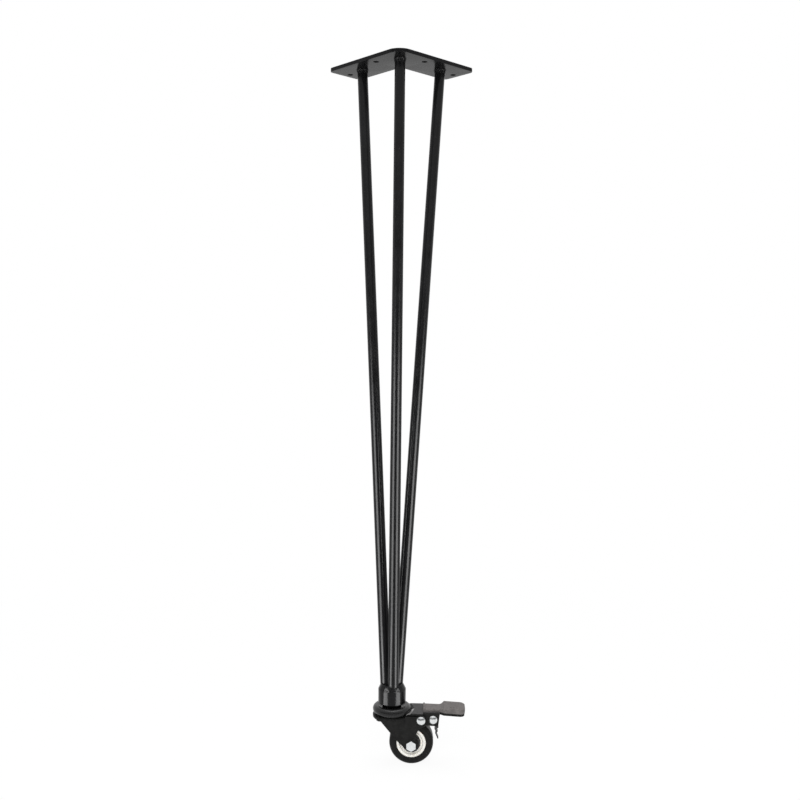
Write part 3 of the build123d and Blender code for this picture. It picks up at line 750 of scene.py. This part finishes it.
def makeWorld():
    world = bpy.data.worlds.new("studio")
    scene.world = world
    world.use_nodes = True
    tree = world.node_tree
    strength = addRange(tree, seenDirectly(tree), worldLook["fill"], 1.0, 0.0, 1.0)
    back = tree.nodes["Background"]
    back.inputs["Color"].default_value = (1, 1, 1, 1)
    tree.links.new(strength, back.inputs["Strength"])


makeWorld()

flagLook = {
    "radius": 3.0, "bottom": -0.77, "top": 0.95, "start": 200, "sweep": 140, "steps": 28,
    "grey": 0.3,
}


def makeFlag():
    # a dark studio flag round the camera's side, for the black parts to mirror
    look = flagLook
    start = math.radians(look["start"])
    x = look["radius"] * math.cos(start)
    y = look["radius"] * math.sin(start)
    bm = bmesh.new()
    ends = [bm.verts.new((x, y, z)) for z in (look["bottom"], look["top"])]
    edge = bm.edges.new(ends)
    bmesh.ops.spin(
        bm, geom=ends + [edge], cent=(0, 0, 0), axis=(0, 0, 1), dvec=(0, 0, 0),
        angle=math.radians(look["sweep"]), steps=look["steps"],
    )
    mesh = bpy.data.meshes.new("studioFlag")
    bm.to_mesh(mesh)
    bm.free()
    mesh.materials.append(startMatte("flagCloth", look["grey"])[0])
    flag = bpy.data.objects.new("studioFlag", mesh)
    flag.visible_camera = False
    flag.visible_shadow = False
    scene.collection.objects.link(flag)


makeFlag()

# a lamp that doesn't fill is seen only in reflections; one that isn't mirrored, never in them
stripeBox = {"to": (0, -0.05, -0.44), "size": (0.82, 0.67), "power": 26, "fills": False}
stripeCard = {"size": (0.1, 0.17), "power": 0.72, "fills": False}
lampLook = {
    "leftBox": {**stripeBox, "at": (-0.85, -0.92, -0.435)},
    "rightBox": {**stripeBox, "at": (0.88, -0.89, -0.435)},
    "leftCard": {**stripeCard, "at": (-0.157, -0.201, -0.716), "to": (-0.102, -0.158, -0.646)},
    "rightCard": {**stripeCard, "at": (0.157, -0.201, -0.716), "to": (0.102, -0.158, -0.646)},
    "topBox": {"at": (0.1, 0.2, 1.6), "to": (0, 0, -0.4), "size": (1.6, 1.6), "power": 30},
    "frontBox": {
        "at": (-0.2, -2.2, 0.6), "to": (0, 0, -0.6), "size": (1.6, 1.6), "power": 44,
        "mirrored": False,
    },
}
coatedPieces = (
    "centerRod", "leftRod", "rightRod", "cornerPlate", "plateWelds", "stemCollar", "collarWeld",
)


def makeLamps():
    # boxes and cards draw the stripes on the coated pieces, and would glare on the zinc
    coated = bpy.data.collections.new("coatedPieces")
    for name in coatedPieces:
        coated.objects.link(bpy.data.objects[name])
    for name, look in lampLook.items():
        lamp = bpy.data.lights.new(name, "AREA")
        lamp.shape = "RECTANGLE"
        lamp.size, lamp.size_y = look["size"]
        lamp.energy = look["power"]
        holder = bpy.data.objects.new(name, lamp)
        holder.location = look["at"]
        aim = Vector(look["to"]) - Vector(look["at"])
        holder.rotation_euler = aim.to_track_quat("-Z", "Y").to_euler()
        holder.visible_camera = False
        holder.visible_diffuse = look.get("fills", True)
        holder.visible_glossy = look.get("mirrored", True)
        if not holder.visible_diffuse:
            holder.light_linking.receiver_collection = coated
        scene.collection.objects.link(holder)


makeLamps()

# focal length, frame and centre are in pixels, the sensor's width in millimetres
cameraLook = {
    "at": (0.0337324, -1.0845375, -0.3215187), "yaw": 0.0292, "pitch": -0.065, "roll": -0.0093,
    "focal": 948.4279, "frame": 800, "centre": (398.7, 404.7), "sensor": 36,
}


def makeCamera():
    look = cameraLook
    yaw = Matrix.Rotation(look["yaw"], 3, "Z")
    pitch = Matrix.Rotation(look["pitch"], 3, "X")
    roll = Matrix.Rotation(look["roll"], 3, "Y")
    turn = yaw @ pitch @ roll
    right, ahead, up = turn.col
    lens = bpy.data.cameras.new("photoCamera")
    lens.sensor_width = look["sensor"]
    lens.lens = look["focal"] / look["frame"] * lens.sensor_width
    lens.shift_x = 0.5 - look["centre"][0] / look["frame"]
    lens.shift_y = look["centre"][1] / look["frame"] - 0.5
    holder = bpy.data.objects.new("photoCamera", lens)
    pose = Matrix((right, up, -ahead)).transposed().to_4x4()
    pose.translation = Vector(look["at"])
    holder.matrix_world = pose
    scene.collection.objects.link(holder)
    scene.camera = holder


makeCamera()
scene.view_settings.view_transform = "Standard"
print("studio done")
